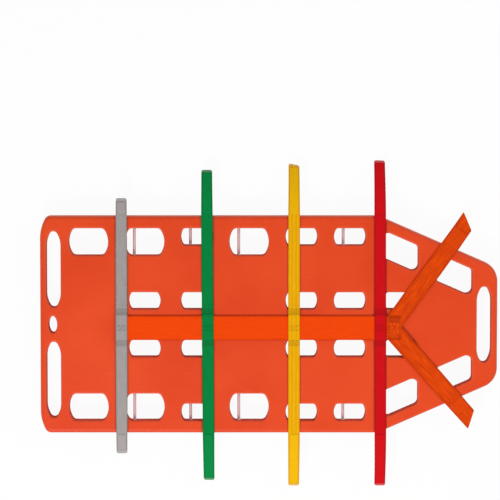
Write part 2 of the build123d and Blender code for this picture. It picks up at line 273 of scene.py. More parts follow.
def board_mesh(outlines):
    """Walls: every outline carried down its edge profile. Faces: skins between the walls. The top
    skin sinks by the depth times 2 + sin(21x + 1.3) sin(17y + 0.4) + sin(9x - 24y), slow waves of
    up to half a millimetre, as a cooled moulding does."""
    points, faces, edges, tops, bottoms, top_index, bottom_index = [], [], [], [], [], [], []
    first = 0
    for number, (outline, normals) in enumerate(outlines):
        roll, side = (hole_lip, 1) if number else (edge_roll, -1)
        offset, height, lip, wall = edge_profile(roll, side)
        flat = outline + normals * offset[:, None]
        rows = np.stack([flat.real, flat.imag, np.repeat(height[:, None], len(outline), 1)], -1)
        index = first + np.arange(flat.size).reshape(flat.shape)
        upper, lower = index[:-1], index[1:]
        quad = [upper, lower, np.roll(lower, -1, 1), np.roll(upper, -1, 1)]
        faces.append(np.stack(quad if number == 0 else quad[::-1], -1).reshape(-1, 4))
        points.append(rows.reshape(-1, 3))
        edge = np.stack([lip * (number > 0), wall * (number == 0), wall * (number > 0)], 1)
        edges.append(np.repeat(edge, len(outline), 0))
        tops.append(rows[0, :, :2])
        bottoms.append(rows[-1, :, :2])
        top_index.append(index[0])
        bottom_index.append(index[-1])
        first += flat.size
    for loops, index, level, spacing in (
        (tops, top_index, board_top, top_spacing),
        (bottoms, bottom_index, board_bottom, under_spacing),
    ):
        grid, triangles = skin(loops, spacing)
        names = np.concatenate(index + [first + np.arange(len(grid))])
        triangles = names[triangles]
        faces.append(triangles if level == board_top else triangles[:, ::-1])
        points.append(np.column_stack([grid, np.full(len(grid), level)]))
        edges.append(np.zeros((len(grid), 3)))
        first += len(grid)
    points = np.concatenate(points)
    x, y = points[:, 0], points[:, 1]
    sink = sink_depth * (2 + np.sin(21 * x + 1.3) * np.sin(17 * y + 0.4) + np.sin(9 * x - 24 * y))
    points[:, 2] -= np.where(points[:, 2] > parting, sink, 0)
    piece = make_piece("board", points, faces)
    # Masks of the painted light: lip highlight, rim reflection and hole-wall tint, one vector a corner.
    painted_edge_light = np.concatenate(edges).astype(np.float32).ravel()
    piece.data.attributes.new("edges", "FLOAT_VECTOR", "POINT").data.foreach_set("vector", painted_edge_light)
    return piece


def add(tree, kind, inputs=None, **settings):
    """One shader node, with its settings and the values or links of its inputs."""
    node = tree.nodes.new("ShaderNode" + kind)
    for name, value in settings.items():
        setattr(node, name, value)
    for name, value in (inputs or {}).items():
        if isinstance(value, bpy.types.NodeSocket):
            tree.links.new(value, node.inputs[name])
        else:
            node.inputs[name].default_value = value
    return node


def sums(tree, operation, *values):
    """The output of a Math node on one, two or three values or links."""
    return add(tree, "Math", dict(enumerate(values)), operation=operation).outputs[0]


def spread(tree, value, low, high):
    """A value stretched so that low becomes 0 and high becomes 1, and kept between them."""
    return add(tree, "MapRange", {"Value": value, "From Min": low, "From Max": high}).outputs[0]


def noise(tree, place, scale, detail):
    """Noise from 0 to 1 at a place, with so many bumps to the metre and so many finer layers."""
    return add(tree, "TexNoise", {"Vector": place, "Scale": scale, "Detail": detail}).outputs["Fac"]


def mix_colour(tree, share, first, second):
    """The colour between two colours or links, by a share from 0 to 1."""
    node = add(tree, "Mix", data_type="RGBA", blend_type="MIX")
    for socket, value in ((node.inputs[0], share), (node.inputs[6], first), (node.inputs[7], second)):
        if isinstance(value, bpy.types.NodeSocket):
            tree.links.new(value, socket)
        else:
            socket.default_value = value
    return node.outputs[2]


def tint(tree, colour, mask, strength, towards):
    """A colour moved towards another one by a mask times a strength."""
    return mix_colour(tree, sums(tree, "MULTIPLY", mask, strength), colour, (*towards, 1))


def group_tree(name, inputs, outputs):
    """An empty shader node group with named inputs (name, socket type, value) and outputs."""
    tree = bpy.data.node_groups.new(name, "ShaderNodeTree")
    for title, kind, value in inputs:
        socket = tree.interface.new_socket(name=title, in_out="INPUT", socket_type="NodeSocket" + kind)
        if value is not None:
            socket.default_value = value
    for title, kind in outputs:
        tree.interface.new_socket(name=title, in_out="OUTPUT", socket_type="NodeSocket" + kind)
    return tree, tree.nodes.new("NodeGroupInput"), tree.nodes.new("NodeGroupOutput")


def moulded_grain_group():
    """The skin of a moulded part: slow patches of tone, a fine pebble grain, and short scuffs that
    run along the part. Height is the grain less 0.6 of the scuffs."""
    tree, given, wanted = group_tree(
        "moulded_grain",
        [("Place", "Vector", None), ("Grain Scale", "Float", 900.0), ("Scuffs", "Float", 0.5)],
        [("Height", "Float"), ("Tone", "Float"), ("Scuff", "Float")])
    place = given.outputs["Place"]
    patches = noise(tree, place, 7.0, 3.0)
    grain = noise(tree, place, given.outputs["Grain Scale"], 2.0)
    streaks = add(tree, "Mapping", {"Vector": place, "Scale": (18.0, 420.0, 420.0), "Rotation": (0, 0, 0.22)})
    lines = spread(tree, noise(tree, streaks.outputs[0], 1.0, 4.0), 0.66, 0.74)
    scuff = sums(tree, "MULTIPLY", lines, given.outputs["Scuffs"])
    height = sums(tree, "SUBTRACT", grain, sums(tree, "MULTIPLY", scuff, 0.6))
    for title, value in (("Height", height), ("Tone", patches), ("Scuff", scuff)):
        tree.links.new(value, wanted.inputs[title])
    return tree


def strap_shadow_group():
    """Painted shadow beside a strap: a dark line along each edge of a band, fading over 3 mm, as
    1 - | |along - middle| - half width | / 3 mm, kept from 0 to 1."""
    tree, given, wanted = group_tree(
        "strap_shadow",
        [("Along", "Float", 0.0), ("Middle", "Float", 0.0), ("Half Width", "Float", 0.012)],
        [("Shadow", "Float")])
    away = sums(tree, "ABSOLUTE", sums(tree, "SUBTRACT", given.outputs["Along"], given.outputs["Middle"]))
    away = sums(tree, "ABSOLUTE", sums(tree, "SUBTRACT", away, given.outputs["Half Width"]))
    tree.links.new(spread(tree, away, 0.0032, 0.0), wanted.inputs["Shadow"])
    return tree


moulded_grain = moulded_grain_group()
strap_shadow = strap_shadow_group()


def new_material(name):
    """A material with its tree, its Principled shader and the object's own coordinates."""
    material = bpy.data.materials.new(name)
    material.use_nodes = True
    tree = material.node_tree
    shader = tree.nodes["Principled BSDF"]
    place = add(tree, "TexCoord").outputs["Object"]
    return material, tree, shader, place


def dress(tree, shader, colour, rough, height, strength, distance):
    """Colour, roughness and a bumped normal into the shader. A bump is as tall as its height times
    its distance, in metres."""
    tree.links.new(colour, shader.inputs["Base Color"])
    tree.links.new(rough, shader.inputs["Roughness"])
    bump = add(tree, "Bump", {"Height": height, "Strength": strength, "Distance": distance})
    tree.links.new(bump.outputs[0], shader.inputs["Normal"])


def strap_middle(name):
    """Where a cross strap lies along the board: half way between the ends of its keeper's box."""
    low, high = corners_of(f"{name}_keeper")
    return (low[0] + high[0]) / 2


strap_middles = {name: strap_middle(name) for name in ("ankle", "thigh", "pelvis", "chest")}


def board_plastic():
    """Orange-red polyethylene: duller and redder patches, a painted pale highlight on the hole lips, a
    painted pale reflection on the rolled rim and the hole walls, faint scuffs, and painted shadow lines
    beside the four cross straps."""
    material, tree, shader, place = new_material("board_plastic")
    grain = add(tree, "Group", node_tree=moulded_grain)
    tree.links.new(place, grain.inputs["Place"])
    edges = add(tree, "SeparateXYZ", {0: add(tree, "Attribute", attribute_name="edges").outputs["Vector"]})
    lip, painted_rim_reflection, painted_wall_light = edges.outputs
    tone = spread(tree, grain.outputs["Tone"], 0.3, 0.7)
    colour = mix_colour(tree, tone, (0.70, 0.045, 0.0020, 1), (0.77, 0.062, 0.0065, 1))
    # Painted highlight: the rounded lips of the holes are tinted pale pink.
    colour = tint(tree, colour, lip, 0.16, (0.90, 0.22, 0.13))
    colour = tint(tree, colour, grain.outputs["Scuff"], 0.22, (0.88, 0.24, 0.15))
    # Painted reflection: the rolled rim and outer wall, and the walls of the holes, are tinted pale greyish
    # pink.
    colour = tint(tree, colour, painted_rim_reflection, 0.36, (0.66, 0.24, 0.18))
    colour = tint(tree, colour, painted_wall_light, 0.30, (0.66, 0.22, 0.16))
    along, _, level = add(tree, "SeparateXYZ", {0: place}).outputs
    # Painted shadow: a dark line on the top face beside each edge of the four cross straps.
    on_top = spread(tree, level, board_top - 0.0045, board_top - 0.0005)
    lines = []
    for middle in strap_middles.values():
        line = add(tree, "Group", {"Along": along, "Middle": middle}, node_tree=strap_shadow)
        lines.append(line.outputs["Shadow"])
    first_two, last_two = sums(tree, "MAXIMUM", *lines[:2]), sums(tree, "MAXIMUM", *lines[2:])
    shadowed = sums(tree, "MULTIPLY", sums(tree, "MAXIMUM", first_two, last_two), on_top)
    colour = tint(tree, colour, shadowed, 0.72, (0.30, 0.030, 0.006))
    rough = sums(tree, "MULTIPLY_ADD", grain.outputs["Tone"], 0.16, 0.36)
    rough = sums(tree, "SUBTRACT", rough, sums(tree, "MULTIPLY", lip, 0.10))
    rough = sums(tree, "MULTIPLY_ADD", painted_wall_light, 0.4, rough)
    dress(tree, shader, colour, rough, grain.outputs["Height"], 0.25, 0.0004)
    shader.inputs["Specular IOR Level"].default_value = 0.22
    return material


board_finish = board_plastic()
hole_pitches = [kind[0] + hole_web for kind in hole_row]
hole_starts = foot_x + first_hole_inset + np.cumsum([0] + hole_pitches[:-1])
board = board_mesh([board_rim()] + board_holes(hole_starts))
board.data.materials.append(board_finish)
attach(board, "board")
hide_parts("board_shell")


# Runners
# Two sledge runners are part of the same moulding. They lift the board off the ground, so that
# hands and straps get under it, and their ends ramp up so that it slides.
runner_foot, runner_head = foot_x + 0.070, taper_x - 0.012
runner_length = runner_head - runner_foot
runner_y, runner_half, runner_soft, runner_sunk = 0.104, 0.020, 0.004, 0.0003
ramp_from, ramp_to = -0.006, 0.031
close_stretch, close_rows, level_inset, level_rows = 0.034, 16, 0.040, 60


def tube_mesh(name, rings, weave=None, crease=38):
    """A closed piece from rings of points, one after another along it, with a flat face on each
    end. Its faces are turned outwards where the enclosed volume comes out negative."""
    count, around = rings.shape[:2]
    index = np.arange(count * around).reshape(count, around)
    near, far = index[:-1], index[1:]
    quads = np.stack([near, np.roll(near, -1, 1), np.roll(far, -1, 1), far], -1).reshape(-1, 4)
    caps = np.stack([index[0][::-1], index[-1]])
    corners = rings.reshape(-1, 3)
    centred = corners - corners.mean(0)
    a, b, c, d = (centred[quads[:, i]] for i in range(4))
    volume = np.einsum("ij,ij->", a, np.cross(b, c)) + np.einsum("ij,ij->", a, np.cross(c, d))
    if volume < 0:
        quads, caps = quads[:, ::-1], caps[:, ::-1]
    return make_piece(name, corners, [quads, caps], weave, crease)


def smooth(value, start, end):
    """A smooth step s^2 (3 - 2s), where s is how far the value is from start to end."""
    share = np.clip((value - start) / (end - start), 0, 1)
    return share * share * (3 - 2 * share)


def runner_rings(side):
    """Sections along a runner: a flare into the shell, a wall and a rounded foot, and its mirror
    image. Each section's height is its own one times the lower of the two ends' ramps."""
    turn = np.linspace(0, math.pi / 2, 6)
    away, drop = runner_soft * (1 - np.sin(turn)), runner_soft * (1 - np.cos(turn))
    flare = np.stack([runner_half + away, drop], 1)
    foot = np.stack([runner_half - drop, runner_height - away], 1)
    wall = np.concatenate([flare, foot])
    section = np.concatenate([wall, wall[::-1] * (-1, 1)])
    foot_rows = np.linspace(0, close_stretch, close_rows)
    middle_rows = np.linspace(level_inset, runner_length - level_inset, level_rows)
    head_rows = np.linspace(runner_length - close_stretch, runner_length, close_rows)
    along = np.concatenate([foot_rows, middle_rows, head_rows])
    rise = np.minimum(smooth(along, ramp_from, ramp_to), smooth(runner_length - along, ramp_from, ramp_to))
    stretch = (runner_height + runner_sunk) / runner_height
    rings = np.empty((len(along), len(section), 3))
    rings[..., 0] = runner_foot + along[:, None]
    rings[..., 1] = side * runner_y + section[:, 0]
    rings[..., 2] = board_bottom + runner_sunk - section[:, 1] * stretch * rise[:, None]
    return rings


for side, word in ((1, "left"), (-1, "right")):
    runner = tube_mesh(f"runner_{word}", runner_rings(side))
    runner.data.materials.append(board_finish)
    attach(runner, "board")


# Clip pins
# A slim moulded rod crosses five of the handholds on each side, for the snap hooks of other
# restraint straps. Each flares a little where it goes into the wall of the hole.
pin_inset, pin_seat, pin_radius, pin_flare, flare_fade = 0.019, 0.0058, 0.003, 0.0014, 0.0011
pin_corners, pin_rows = 24, 40


def pin_plastic():
    """Pale, slightly milky composite, with fine lengthwise drawing marks."""
    material, tree, shader, place = new_material("pin_plastic")
    drawn = add(tree, "Mapping", {"Vector": place, "Scale": (1500.0, 60.0, 1500.0)})
    marks = noise(tree, drawn.outputs[0], 1.0, 3.0)
    colour = mix_colour(tree, marks, (0.58, 0.36, 0.36, 1), (0.76, 0.54, 0.54, 1))
    dress(tree, shader, colour, sums(tree, "MULTIPLY_ADD", marks, 0.2, 0.25), marks, 0.2, 0.0002)
    return material


def pin_rings(x, y, width):
    """Rings along a rod across a hole. The radius grows by the flare times e^(-d / fade), where d
    is the distance to the hole's wall."""
    half = width / 2
    run = np.concatenate([[-half - pin_seat], np.linspace(-half, half, pin_rows), [half + pin_seat]])
    radius = pin_radius + pin_flare * np.exp(-np.clip(half - np.abs(run), 0, 1) / flare_fade)
    spin = np.arange(pin_corners) / pin_corners * 2 * math.pi
    rings = np.empty((len(run), pin_corners, 3))
    rings[..., 0] = x + radius[:, None] * np.cos(spin)
    rings[..., 1] = y + run[:, None]
    rings[..., 2] = parting + radius[:, None] * np.sin(spin)
    return rings


pin_finish = pin_plastic()
for side, word in ((1, "left"), (-1, "right")):
    for number in (2, 3, 4, 5, 6):
        width = hole_row[number - 1][1]
        x, y = hole_starts[number - 1] + pin_inset, side * (half_width - side_rim - width / 2)
        pin = tube_mesh(f"pin_{word}_{number}", pin_rings(x, y, width))
        pin.data.materials.append(pin_finish)
        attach(pin, "board")
        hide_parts(f"clip_pin_{word}_{number}")


# Long strap
# The harness's backbone: 50 mm polyester webbing that lies down the middle of the board, with its
# cut ends folded under. The ankle strap is sewn to it, and three cross straps are looped round it.
long_low, long_high = corners_of("long_strap")
harness_y, long_level = ((long_low[i] + long_high[i]) / 2 for i in (1, 2))
long_width, webbing = (long_high[i] - long_low[i] for i in (1, 2))
wave_height, wave_count = 0.0001, 34

# Rows of a strap's mesh, how an end rounds off and a hem thickens, and the far stretches over
# which a strap narrows or slants
strap_step, fold_step, end_round, end_left = 0.003, 0.0006, 0.0013, 0.3
hem_from, hem_to, sealed_from, sealed_over = 0.0075, 0.0065, 0.0070, 0.0026
neck_reach, slant_reach = 0.13, 0.06
stitch_pitch, needle_gap = 0.0034, 0.12


def webbing_weave_group():
    """Flat webbing seen close: warp ribs side by side across the strap, each crossed by picks that
    are half a step off its neighbour's, and a slow change of tone along the strap. Height is
    (1 - (2f - 1)^2) (0.6 + 0.4 cos 2 pi p), with f across a rib and p along its picks."""
    tree, given, wanted = group_tree(
        "webbing_weave",
        [("Place", "Vector", None), ("Rib", "Float", 0.0014), ("Pick", "Float", 0.0019)],
        [("Height", "Float"), ("Valley", "Float"), ("Tone", "Float")])
    along, across, _ = add(tree, "SeparateXYZ", {0: given.outputs["Place"]}).outputs
    ribs = sums(tree, "DIVIDE", across, given.outputs["Rib"])
    row = sums(tree, "FLOOR", ribs)
    off_middle = sums(tree, "MULTIPLY_ADD", sums(tree, "SUBTRACT", ribs, row), 2.0, -1.0)
    dome = sums(tree, "SUBTRACT", 1.0, sums(tree, "POWER", sums(tree, "ABSOLUTE", off_middle), 2.0))
    picks = sums(tree, "MULTIPLY_ADD", row, 0.5, sums(tree, "DIVIDE", along, given.outputs["Pick"]))
    wave = sums(tree, "COSINE", sums(tree, "MULTIPLY", picks, 2 * math.pi))
    height = sums(tree, "MULTIPLY", dome, sums(tree, "MULTIPLY_ADD", wave, 0.4, 0.6))
    slow = add(tree, "Mapping", {"Vector": given.outputs["Place"], "Scale": (28.0, 180.0, 1.0)})
    tone = noise(tree, slow.outputs[0], 1.0, 3.0)
    for title, value in (("Height", height), ("Valley", sums(tree, "SUBTRACT", 1.0, height)), ("Tone", tone)):
        tree.links.new(value, wanted.inputs[title])
    return tree


webbing_weave = webbing_weave_group()


def webbing_finish(name, colour, shade, lines=0.0, rib=0.0014, edge_shade_from=0.72, wear=0.35):
    """Woven webbing: the yarn's colour, darker patches of tone, painted shade in the weave's valleys
    and along the selvedges, a paler heat-sealed end, and two darker lines at the distance lines from
    the middle, if any."""
    material, tree, shader, _ = new_material(name)
    place = add(tree, "UVMap", uv_map="weave").outputs[0]
    weave = add(tree, "Group", {"Rib": rib, "Place": place}, node_tree=webbing_weave)
    selvedge = add(tree, "Attribute", attribute_name="selvedge").outputs["Fac"]
    sealed = add(tree, "Attribute", attribute_name="sealed").outputs["Fac"]
    mixed = tint(tree, (*colour, 1), spread(tree, weave.outputs["Tone"], 0.35, 0.68), wear, shade)
    # Painted shade: darker in the valleys between the weave's ribs and picks.
    mixed = tint(tree, mixed, weave.outputs["Valley"], 0.45, shade)
    # Painted shade: darker along both selvedges, towards the strap's edges.
    mixed = tint(tree, mixed, spread(tree, selvedge, edge_shade_from, 0.98), 0.7, [0.8 * c for c in shade])
    mixed = tint(tree, mixed, sealed, 0.48, [0.62 * c + 0.22 for c in colour])
    if lines:
        across = sums(tree, "ABSOLUTE", add(tree, "SeparateXYZ", {0: place}).outputs[1])
        away = sums(tree, "ABSOLUTE", sums(tree, "SUBTRACT", across, lines))
        mixed = tint(tree, mixed, spread(tree, away, 0.0022, 0.0008), 0.55, shade)
    rough = sums(tree, "MULTIPLY_ADD", weave.outputs["Valley"], 0.15, 0.62)
    dress(tree, shader, mixed, rough, weave.outputs["Height"], 0.6, 0.0004)
    shader.inputs["Specular IOR Level"].default_value = 0.06
    shader.inputs["Sheen Weight"].default_value = 0.04
    shader.inputs["Sheen Roughness"].default_value = 0.5
    shader.inputs["Sheen Tint"].default_value = (*colour, 1)
    return material


def thread_finish(name, colour):
    """Bonded sewing thread, a little glossier than the webbing, with its twist as fine bands."""
    material, tree, shader, place = new_material(name)
    twist = add(tree, "TexWave", {"Vector": place, "Scale": 900.0, "Distortion": 2.0}).outputs["Fac"]
    mixed = mix_colour(tree, twist, (*(0.6 * c for c in colour), 1), (*colour, 1))
    dress(tree, shader, mixed, sums(tree, "MULTIPLY_ADD", twist, 0.2, 0.45), twist, 0.3, 0.0001)
    shader.inputs["Specular IOR Level"].default_value = 0.15
    return material


def strap_section(width, thickness):
    """A strap's section as places across and up: flat faces, and selvedges that are half rounds of
    half the thickness."""
    selvedge = thickness / 2
    half, turn = width / 2 - selvedge, np.linspace(-math.pi / 2, math.pi / 2, 7)
    flat = np.linspace(-half, half, 9)[1:-1]
    left, right = half + selvedge * np.cos(turn), -half - selvedge * np.cos(turn)
    across = np.concatenate([flat, left, flat[::-1], right])
    up = np.concatenate([np.full(7, -1.0), np.sin(turn), np.full(7, 1.0), np.sin(turn[::-1])])
    return across, up


def strap_rows(start, end, corner, hem, fold):
    """Where a strap's rings lie along it: even steps, closer ones at both ends, in a rounded
    corner and at a hem, and the closest ones from 2 mm before its fold to 9 mm past it."""
    close = np.array([0.0002, 0.0006, end_round])
    rows = [np.arange(start, end, strap_step), [start, end], start + close, end - close]
    if hem:
        rows.append(end - np.array([0.0066, 0.0072]))
    if corner:
        rows.append(end - corner * np.array([0.02, 0.12, 0.3, 0.55, 1]))
    if fold:
        rows.append(np.arange(fold - 0.002, fold + 0.009, fold_step))
    return np.unique(np.round(np.concatenate(rows), 6))


def strap(name, start, end, path, place, width, thickness=webbing, lift=0.0, slant=0.0, hem=0.0,
          shut=(True, True), corner=0.0, neck=0.0, fold=None):
    """A flat strap. path(u) gives its distance, height and slope, place(distance, across, height)
    its spot on the board. slant shears its far end, hem thickens its last stretch downwards, a
    shut end is rounded off, where the other kind is cut square to meet its neighbour, corner is
    the radius of its far corners, and neck the share by which it narrows towards its far end.
    It gets closer rows where it has a fold. A point of the section that is v off the middle plane
    lies at distance - v sin(slope) and height + v cos(slope)."""
    u = strap_rows(start, end, corner, hem, fold)
    across, up = strap_section(width, thickness)
    across = across * (1 - neck * smooth(u, end - neck_reach, end))[:, None]
    if corner:
        share = 1 - np.clip((end - u) / corner, 0, 1)
        across = across * (1 - 2 * corner / width * (1 - np.sqrt(1 - share**2)))[:, None]
    shear = slant * smooth(u, end - slant_reach, end)
    along = u[:, None] + shear[:, None] * across
    distance, height, slope = path(along)
    near_start = np.clip((u - start) / end_round, 0, 1) if shut[0] else np.ones(len(u))
    near_end = np.clip((end - u) / end_round, 0, 1) if shut[1] else np.ones(len(u))
    fullness = np.sqrt(1 - (1 - np.minimum(near_start, near_end)) ** 2)
    squeeze = end_left + (1 - end_left) * fullness
    offset = thickness / 2 * up * squeeze[:, None] + lift
    offset -= np.where(up < 0, 1, 0) * (hem * smooth(u, end - hem_from, end - hem_to))[:, None]
    distance = distance - np.sin(slope) * offset
    height = height + np.cos(slope) * offset
    rings = np.stack(place(distance, across, height), -1)
    piece = tube_mesh(name, rings, np.stack([along, across], -1).reshape(-1, 2), 50)
    edge = np.abs(2 * across / width)
    sealed = np.clip((sealed_from - end + u) / sealed_over, 0, 1)[:, None] + np.zeros_like(across)
    for title, values in (("selvedge", edge), ("sealed", sealed * (hem > 0))):
        place_of = piece.data.attributes.new(title, "FLOAT", "POINT").data
        place_of.foreach_set("value", values.astype(np.float32).ravel())
    return piece


def stitches(name, seams, path, place, lift, thread=0.00032):
    """Thread laid over a strap's face: each stitch is a small rounded bar from one needle hole to
    the next. A seam is (u0, across0, u1, across1), cut into stitches of about 2.6 mm."""
    starts, ends = [], []
    for u0, v0, u1, v1 in seams:
        count = max(1, round(math.hypot(u1 - u0, v1 - v0) / stitch_pitch))
        step = np.array([u1 - u0, v1 - v0]) / count
        first = np.array([u0, v0]) + step * np.arange(count)[:, None]
        starts.append(first + step * needle_gap)
        ends.append(first + step * (1 - needle_gap))

    def spot(pair):
        """Places on the board of points (along, across), lifted off the strap's middle plane."""
        distance, height, slope = path(pair[:, 0])
        out, up = distance - np.sin(slope) * lift, height + np.cos(slope) * lift
        return np.stack(place(out, pair[:, 1], up), -1)

    start, end = spot(np.concatenate(starts)), spot(np.concatenate(ends))
    along = end - start
    aside = np.cross(along, (0.0, 0.0, 1.0))
    aside /= np.linalg.norm(aside, axis=1)[:, None]
    above = np.cross(aside, along)
    above /= np.linalg.norm(above, axis=1)[:, None]
    share = np.array([-0.06, 0.06, 0.3, 0.7, 0.94, 1.06])
    fat = np.array([0.35, 0.85, 1.0, 1.0, 0.85, 0.35]) * thread
    spin = np.arange(6) / 6 * 2 * math.pi
    ring = aside[:, None] * np.cos(spin)[None, :, None] + above[:, None] * np.sin(spin)[None, :, None]
    middles = start[:, None, None] + along[:, None, None] * share[None, :, None, None]
    points = middles + ring[:, None] * fat[None, :, None, None]
    index = np.arange(points[..., 0].size).reshape(points.shape[:3])
    near, far = index[:, :-1], index[:, 1:]
    quads = np.stack([near, far, np.roll(far, -1, 2), np.roll(near, -1, 2)], -1).reshape(-1, 4)
    caps = np.concatenate([index[:, 0], index[:, -1][:, ::-1]])
    if np.dot(np.cross(ring[0, 0], ring[0, 1]), along[0]) > 0:
        quads, caps = quads[:, ::-1], caps[:, ::-1]
    return make_piece(name, points.reshape(-1, 3), [quads, caps], crease=60)


def long_strap_path(u):
    """Nearly level, with slow waves of a tenth of a millimetre: height a sin(34u), and its slope."""
    wave = wave_count * u
    return u, long_level + wave_height * np.sin(wave), wave_height * wave_count * np.cos(wave)


def along_board(distance, across, height):
    """Distance runs along the board from its middle, and across to its left."""
    return distance, harness_y + across, height


orange_finish = webbing_finish(
    "orange_webbing", (0.97, 0.070, 0.0006), (0.74, 0.048, 0.001), rib=0.0016, edge_shade_from=0.84)
long_strap = strap(
    "long_strap_webbing", long_low[0], long_high[0], long_strap_path, along_board, long_width)
long_strap.data.materials.append(orange_finish)
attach(long_strap, "harness")
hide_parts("long_strap")


# Cross straps
# Four colour-coded straps of 24 mm webbing. Each humps over the long strap and is sewn to a keeper
# strip under it. It hangs over both sides of the board, where hook tape closes it on itself.
keeper_low, keeper_high = corners_of("ankle_keeper")
cross_width, _, keeper_thickness = (keeper_high[i] - keeper_low[i] for i in range(3))
keeper_half, keeper_level = keeper_high[1] - harness_y, (keeper_low[2] + keeper_high[2]) / 2
soft_gap = keeper_low[2] - board_top
board_level = board_top + soft_gap + webbing / 2
on_keeper_level = board_level + keeper_thickness
hump_level = long_high[2] + soft_gap + webbing / 2
hump_half, hump_ramp, hump_crown = long_width / 2 + soft_gap, 0.006, 0.0004
bend_y, hinge_to_bend, droop, fold_length = half_width - edge_roll, 0.002, 0.211, 0.007
hinge_y = bend_y - hinge_to_bend
strap_neck, cross_corner, cross_hem = 0.07, 0.0046, 0.0012

# Hook tape: its width, thickness, lift and ends, and the seams round it
tape_width, tape_thickness, tape_lift, tape_start, tape_stop = 0.020, 0.001, 0.0015, 0.0100, 0.0076
tape_seam_start, tape_seam_stop, tape_seam_half, tape_seam_lift = 0.0115, 0.009, 0.0088, 0.0020

# The seams beside the long strap on the left and the right, and half the tack on its middle
seam_ends = {1: (0.0268, 0.0400), -1: (0.0256, 0.0372)}
seam_half, seam_edge, seam_overrun, seam_step, seam_lift = 0.0098, 0.0103, 0.0006, 0.0016, 0.0010
tack_start, tack_end, tack_half, tack_row = 0.0004, 0.0052, 0.0070, 0.0054


def crossing_path(bend):
    """Height of a cross strap at a distance from the long strap's middle: over the strap, down on
    the keeper, down on the board by smooth steps s^2 (3 - 2s), and past the bend an arc that hangs
    over the edge: d sin(a) further out and d (1 - cos(a)) lower."""
    steps = [(hump_half, hump_level - on_keeper_level), (keeper_half, on_keeper_level - board_level)]

    def path(u):
        """Distance, height and slope at a length u along the strap."""
        angle = np.clip((u - bend) / droop, 0, None)
        distance = np.minimum(u, bend) + droop * np.sin(angle)
        height = board_level - droop * (1 - np.cos(angle))
        height = height + hump_crown * np.clip(1 - (u / hump_half) ** 2, 0, None)
        slope = -angle - np.where(np.abs(u) < hump_half, 2 * hump_crown * u / hump_half**2, 0)
        for near, drop in steps:
            share = np.clip((u - near) / hump_ramp, 0, 1)
            height = height + drop * (1 - share * share * (3 - 2 * share))
            slope = slope - drop * 6 * share * (1 - share) / hump_ramp
        return distance, height, slope

    return path


def crossing_place(x, side, lean):
    """Distance runs out from the long strap to one side, and the strap leans a little in plan."""
    return lambda distance, across, height: (
        x - side * across + lean * side * distance, harness_y + side * distance, height)


def keeper_path(u):
    """Level, between the board and the long strap."""
    return u, np.full(np.shape(u), keeper_level), np.zeros(np.shape(u))


def seams_round(first, last, half):
    """Four seams round a rectangle, from first to last along a strap and half to each side."""
    sides = [(first, v, last, v) for v in (-half, half)]
    return sides + [(u, -half, u, half) for u in (first, last)]


def crossing_seams(first, last):
    """Rows across the strap where it is sewn to its keeper, a line along each of their ends, and
    half of a crossed box on the long strap's middle."""
    rows = [(u, -seam_half, u, seam_half) for u in np.arange(first, last, seam_step)]
    rows += [(first - seam_overrun, v, last, v) for v in (-seam_edge, seam_edge)]
    rows += [(tack_start, v, tack_end, v) for v in (-tack_half, tack_half)]
    rows += [(tack_row, -tack_half, tack_row, tack_half)]
    return rows + [(tack_start, 0.0, tack_end, v) for v in (tack_half, -tack_half)]


def hook_finish(name, colour, shade):
    """Hook tape: rows of tiny stiff loops, as a fine grid of points on a darker ground."""
    material, tree, shader, _ = new_material(name)
    place = add(tree, "UVMap", uv_map="weave").outputs[0]
    loops = add(tree, "TexVoronoi", {"Vector": place, "Scale": 900.0, "Randomness": 0.35})
    points = loops.outputs["Distance"]
    mixed = mix_colour(tree, points, (*colour, 1), (*shade, 1))
    rough = sums(tree, "MULTIPLY_ADD", points, 0.3, 0.5)
    dress(tree, shader, mixed, rough, sums(tree, "SUBTRACT", 1.0, points), 0.7, 0.0005)
    shader.inputs["Specular IOR Level"].default_value = 0.06
    return material


